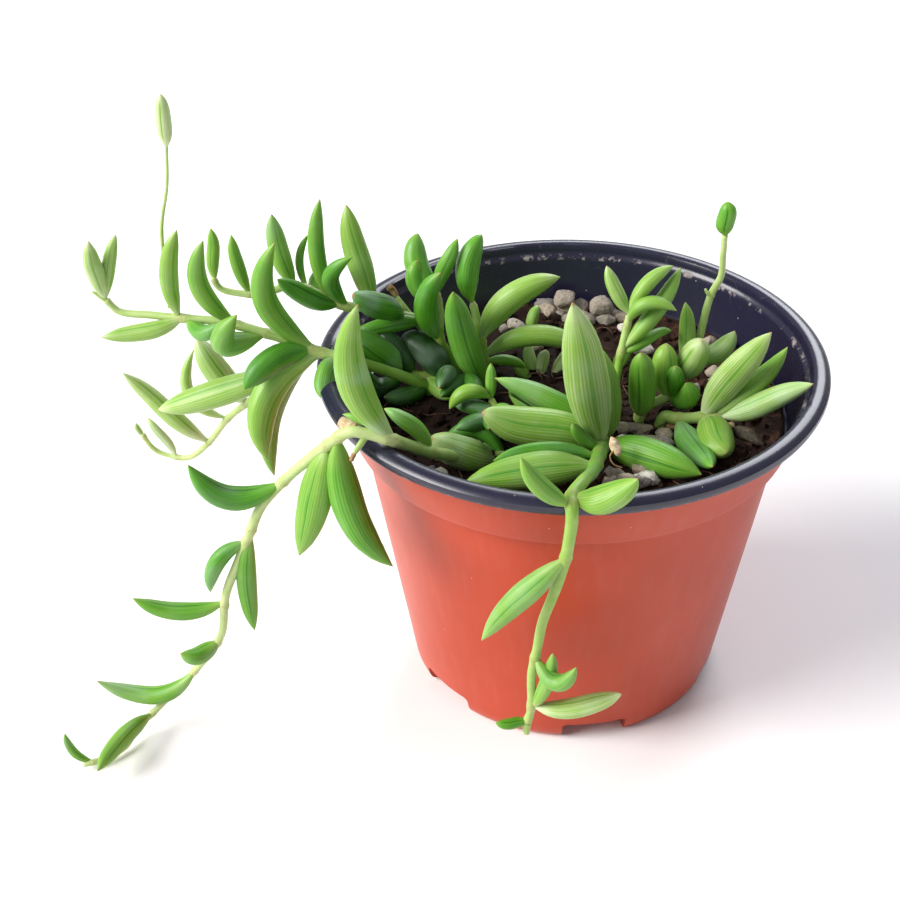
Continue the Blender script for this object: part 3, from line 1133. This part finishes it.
class PLANT_OT_gravel(bpy.types.Operator):
    """Lays the pumice grit where it shows"""

    bl_idname = "plant.gravel"
    bl_label = "Gravel"

    SEED = 5
    REACH = 44 * MM  # no stone lies farther out
    FLATS = 12
    FLAT_AT = 0.7  # where a flat cuts a ball of radius 1
    FLATNESS = 0.95  # how much of what stands over a flat is pressed away
    UNTURNED = 2.55 * MM  # from this half width on, as the frame's pebbles have, a stone lies unturned
    # Middle in millimetres and how many stones lie round it, within what reach.
    HEAPS = (
        ((-5, 41), 9, 4), ((1, 38), 12, 6), ((9, 36), 10, 5), ((17, 22), 2, 3), ((33, 26), 2, 2),
        ((-15, 30), 4, 5), ((13, -14), 6, 4), ((19, -15), 5, 3), ((9, -29), 5, 3), ((14, -28), 5, 3),
        ((34, -6), 2, 5), ((-22, -28), 3, 8), ((30, 6), 3, 8), ((-8, 22), 3, 6),
    )  # fmt: skip

    def execute(self, context):
        soil = context.scene.plant_soil
        material = pumice(soil)
        choose()
        bpy.ops.mesh.primitive_ico_sphere_add(subdivisions=3, radius=1)
        blank = context.object
        chance = random.Random(self.SEED)
        for i in (1, 2, 3):
            low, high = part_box(f"pebble_{i}")
            stone = self.stone(blank, (low + high) / 2, (high - low) / 2, chance)
            piece = mesh_piece(f"large_pebble_{i}", *stone)
            tint = (chance.random() * 0.4, 0.2, 0)
            write_attribute(piece.data, "stone_tint", [tint] * len(piece.data.vertices))
            keep(piece, "gravel", f"pebble_{i}", material=material)
        points, faces, tints = [], [], []
        for (cx, cy), count, spread in self.HEAPS:
            for _ in range(count):
                x, y, _ = (Vector((cx, cy, 0)) + spot_within(spread, chance)) * MM
                if math.hypot(x, y) > self.REACH:
                    continue
                half = chance.uniform(1.3, 2.9) * MM
                size = Vector((half, half * chance.uniform(0.65, 0.95), half * chance.uniform(0.5, 0.8)))
                middle = Vector((x, y, PLANT_OT_soil.surface(soil, x, y) + 0.45 * size.z))
                stone, sides = self.stone(blank, middle, size, chance)
                faces += [[len(points) + k for k in side] for side in sides]
                points += stone
                tints += [(chance.random() ** 1.5, chance.random(), 0)] * len(stone)
        drop(blank)
        grit = mesh_piece("gravel", points, faces)
        write_attribute(grit.data, "stone_tint", tints)
        keep(grit, "gravel", material=material)
        return {"FINISHED"}

    def stone(self, blank, middle, size, chance):
        """A ball with chipped flats and lumps, fitted to a size."""
        off = Vector([chance.uniform(0, 99) for _ in range(3)])
        spin = Matrix.Rotation(chance.uniform(0, math.tau), 3, "Z")
        flats = [Vector([chance.gauss(0, 1) for _ in range(3)]).normalized() for _ in range(self.FLATS)]
        points = []
        for corner in blank.data.vertices:
            spot = corner.co * (1 + 0.16 * noise.noise(corner.co * 1.4 + off))
            for flat in flats:
                over = spot.dot(flat) - self.FLAT_AT
                if over > 0:
                    spot = spot - flat * over * self.FLATNESS
            points.append(spot * (1 + 0.05 * noise.noise(corner.co * 6 + off)))
        reach = [max(abs(p[i]) for p in points) for i in range(3)]
        fitted = [Vector([p[i] / reach[i] * 0.98 * size[i] for i in range(3)]) for p in points]
        if size.x <= self.UNTURNED:
            fitted = [spin @ p for p in fitted]
        return [middle + p for p in fitted], [list(f.vertices) for f in blank.data.polygons]


class PLANT_OT_stems(bpy.types.Operator):
    """Grows the stems along their routes"""

    bl_idname = "plant.stems"
    bl_label = "Stems"

    def execute(self, context):
        skin = stem_skin(context.scene.plant_plant)
        for name, shoot in SHOOTS.items():
            nodes = sorted({round(leaf[0], 1) for leaf in shoot["leaves"]})
            stem = grown_stem(name + "_stem", shoot["route"], shoot["thick"], nodes, shoot["stem"])
            keep(stem, "stem", name, material=skin)
        return {"FINISHED"}


class PLANT_OT_leaves(bpy.types.Operator):
    """Grows every leaf on its shoot, each a bent copy of one of four blanks"""

    bl_idname = "plant.leaves"
    bl_label = "Leaves"

    SEEDS_APART = 40  # between one shoot's leaves and the next one's

    def execute(self, context):
        skin = leaf_skin(context.scene.plant_plant)
        blanks = {form: leaf_blank(form) for form in FORMS}
        for order, (shoot_name, shoot) in enumerate(SHOOTS.items()):
            own = 0
            for number, leaf in enumerate(shoot["leaves"], 1):
                base = on_route(shoot["route"], leaf[0])
                name = f"{shoot_name}.leaf_{number:02d}"
                seed = order * self.SEEDS_APART + number
                piece = grown_leaf(name, blanks[leaf[8]], base, leaf, seed)
                nodes = []
                if leaf[4] >= OWN_PIECE_WIDTH:
                    own += 1
                    nodes = [f"{shoot_name}_leaf_{own}"]
                keep(piece, "leaf", *nodes, material=skin)
        drop(*blanks.values())
        return {"FINISHED"}


class PLANT_OT_flowers(bpy.types.Operator):
    """Grows the flower stalks and their closed buds"""

    bl_idname = "plant.flowers"
    bl_label = "Flower buds"

    SEED = 300

    def execute(self, context):
        plant = context.scene.plant_plant
        stem = bpy.data.materials["Curio_stem_green_bark"]
        skin = bpy.data.materials["Curio_leaf_waxed_epidermis"]
        blank = leaf_blank("bead")
        for order, (name, flower) in enumerate(FLOWERS.items()):
            stalk = grown_stem(name + "_stalk", flower["route"], flower["thick"], [], 0.25, 1.0)
            stalk.name = name + ".stalk"
            keep(stalk, "stem", name + "_stalk", material=stem)
            size, width, tone = flower["bud"]
            base = on_route(flower["route"], len(flower["route"]) - 1)
            bud = (0, 90, 88, size, width, 0, 0, tone, "bead")
            head = grown_leaf(name + ".bud", blank, base, bud, self.SEED + order)
            keep(head, "flower_bud", name + "_bud", material=skin)
        drop(blank)
        return {"FINISHED"}


class PLANT_OT_sprouts(bpy.types.Operator):
    """Sets the small young leaves that come straight from the soil"""

    bl_idname = "plant.sprouts"
    bl_label = "Sprouts"

    SEED = 500
    # Base in millimetres, then a leaf as in the shoots' tables, where its place on a route is unused.
    LEAVES = (
        ((-7.9, 10.6, 67.5), (0, 120, 62, 7.5, 3.4, 0.6, 90, 0.75, "oval")),
        ((-6.6, 9.8, 67.5), (0, 60, 70, 6.5, 3.0, 0.6, 90, 0.85, "oval")),
        ((-4.1, 10.8, 67.5), (0, 35, 58, 6.5, 3.2, 0.5, 0, 0.8, "oval")),
        ((-8.8, 9.4, 67.5), (0, 190, 50, 6.0, 3.0, 0.5, 0, 0.7, "oval")),
        ((-22.2, 15.7, 67.5), (0, 250, 72, 17, 5.6, 1.0, 0, 0.6, "long")),
        ((-10, 29, 67.5), (0, 60, 58, 7.0, 3.4, 0.8, 180, 0.65, "oval")),
        ((-9.5, -4, 67.5), (0, 215, 58, 8.0, 3.4, 0.8, 180, 0.45, "oval")),
        ((9.6, 14.2, 67.5), (0, 40, 50, 6.0, 3.4, 0.5, 0, 0.55, "oval")),
    )

    def execute(self, context):
        skin = bpy.data.materials["Curio_leaf_waxed_epidermis"]
        blanks = {form: leaf_blank(form) for form in ("oval", "long")}
        for number, (base, leaf) in enumerate(self.LEAVES, 1):
            name = f"sprout.leaf_{number:02d}"
            piece = grown_leaf(name, blanks[leaf[8]], Vector(base) * MM, leaf, self.SEED + number)
            keep(piece, "leaf", material=skin)
        drop(*blanks.values())
        return {"FINISHED"}


class PLANT_OT_dry_bits(bpy.types.Operator):
    """Adds the cut ends and the withered leaves"""

    bl_idname = "plant.dry_bits"
    bl_label = "Dry bits"

    SEED = 600
    # Route in millimetres and thickness at its ends: green stubs, then what has dried.
    STUBS = {
        "stalk_bract": (((29.8, 7.0, 91.0), (28.6, 6.6, 91.8), (27.9, 6.4, 93.0)), (1.3, 0.5)),
        "strand_tip": (((-6.9, -52.0, 20.6), (-7.0, -52.2, 19.0), (-6.8, -52.4, 17.6)), (2.2, 1.3)),
        "left_bract": (((-99.6, -3.0, 91.6), (-101.2, -3.1, 92.8), (-102.6, -3.2, 94.0)), (1.2, 0.5)),
        "curled_stub": (((-39.5, -37.6, 83.4), (-40.6, -38.8, 81.6), (-42.0, -41.4, 80.4)), (1.7, 1.0)),
        "upper_stub": (((-32, 8, 78), (-35.5, 9.6, 82.5), (-39.2, 11.2, 87)), (1.5, 0.9)),
    }
    DRIED = {
        "curled_stub_tip": (((-41.9, -41.3, 80.4), (-42.2, -41.8, 79.9), (-42.4, -42.2, 79.3)), (1.1, 0.9)),
        "upper_stub_tip": (((-39, 11.1, 86.8), (-39.8, 11.5, 88), (-40.6, 11.2, 88.9)), (1.3, 1.7)),
        "cut_end": (((-41.8, -37.6, 83.9), (-43.4, -36.7, 84), (-45.2, -35.7, 84.1)), (2.2, 2.6)),
        "papery_thread": (
            ((9.6, -28.4, 75), (8.4, -30.2, 74.2), (9.2, -31.6, 73.2), (11.0, -31.9, 72.6)),
            (0.35, 0.2),
        ),
        "rim_shred": (((32.4, -9.6, 69.8), (33.6, -10.4, 70.4), (34.6, -10.2, 69.9)), (1.0, 0.7)),
    }
    # Base in millimetres, then a leaf as in the shoots' tables, and how it has dried.
    WITHERED = {
        "withered_leaf": ((33.8, -11.6, 68.6), (0, -48, 10, 9.5, 3.4, 1.0, 180, 0, "long"), "grey"),
        "withered_tip": ((20, -9, 68.8), (0, -20, 8, 5, 2.0, 0.5, 0, 0, "long"), "husk"),
        "papery_bud": ((8.6, -26.8, 76.8), (0, -58, -42, 4.4, 2.1, 0.2, 0, 0, "oval"), "papery"),
        "papery_ball": ((33.4, -12.0, 69.6), (0, 20, 40, 1.9, 1.7, 0, 0, 0, "bead"), "papery"),
    }

    def execute(self, context):
        plant = context.scene.plant_plant
        tan = tuple(plant.tan)
        dark = (*[c * 0.2 for c in tan[:3]], 1)
        greys = (linear(code) for code in ("#221d17", "#3f382a", "#64593f"))
        skins = {
            "husk": dry_tissue("Withered_husk", dark, tan, linear("#bfa27c")),
            "papery": dry_tissue("Papery_bract", tan, linear("#c9b28c"), linear("#eadfc8")),
            "grey": dry_tissue("Withered_grey_leaf", *greys),
        }
        for name, (route, thick) in self.STUBS.items():
            stub = grown_stem(name, route, thick, [], 0.3)
            keep(stub, "stem", material=bpy.data.materials["Curio_stem_green_bark"])
        for name, (route, thick) in self.DRIED.items():
            skin = skins["papery" if name == "cut_end" else "husk"]
            keep(grown_stem(name, route, thick, [], 0.0), None, material=skin)
        blanks = {form: leaf_blank(form) for form in FORMS}
        noise.seed_set(self.SEED)  # without it the vector noise starts from the clock
        for order, (name, (base, leaf, look)) in enumerate(self.WITHERED.items()):
            piece = grown_leaf(name, blanks[leaf[8]], Vector(base) * MM, leaf, self.SEED + order)
            for point in piece.data.vertices:
                point.co += noise.noise_vector(point.co / (1.3 * MM)) * 0.2 * MM
            keep(piece, None, material=skins[look])
        drop(*blanks.values())
        return {"FINISHED"}


STEPS = ("stage", "pot", "soil", "gravel", "stems", "leaves", "flowers", "sprouts", "dry_bits")


class PLANT_PT_sidebar(bpy.types.Panel):
    """The steps in the order in which they are run, and the settings"""

    bl_idname = "PLANT_PT_sidebar"
    bl_label = "Potted string of bananas"
    bl_space_type = "VIEW_3D"
    bl_region_type = "UI"
    bl_category = "Plant"

    def draw(self, context):
        for step in STEPS:
            self.layout.operator("plant." + step)
        for name in SETTINGS:
            group = getattr(context.scene, name)
            for prop in group.bl_rna.properties:
                if prop.identifier not in ("rna_type", "name"):
                    self.layout.prop(group, prop.identifier)


SETTINGS = {
    "plant_pot": PotSettings,
    "plant_soil": SoilSettings,
    "plant_plant": PlantSettings,
    "plant_stage": StageSettings,
}
CLASSES = (
    *SETTINGS.values(),
    PLANT_OT_stage,
    PLANT_OT_pot,
    PLANT_OT_soil,
    PLANT_OT_gravel,
    PLANT_OT_stems,
    PLANT_OT_leaves,
    PLANT_OT_flowers,
    PLANT_OT_sprouts,
    PLANT_OT_dry_bits,
    PLANT_PT_sidebar,
)


def register():
    for cls in CLASSES:
        bpy.utils.register_class(cls)
    for name, group in SETTINGS.items():
        setattr(bpy.types.Scene, name, bpy.props.PointerProperty(type=group))


def unregister():
    for name in SETTINGS:
        delattr(bpy.types.Scene, name)
    for cls in reversed(CLASSES):
        bpy.utils.unregister_class(cls)


def main():
    register()
    for step in STEPS:
        getattr(bpy.ops.plant, step)()


if __name__ == "__main__":
    main()
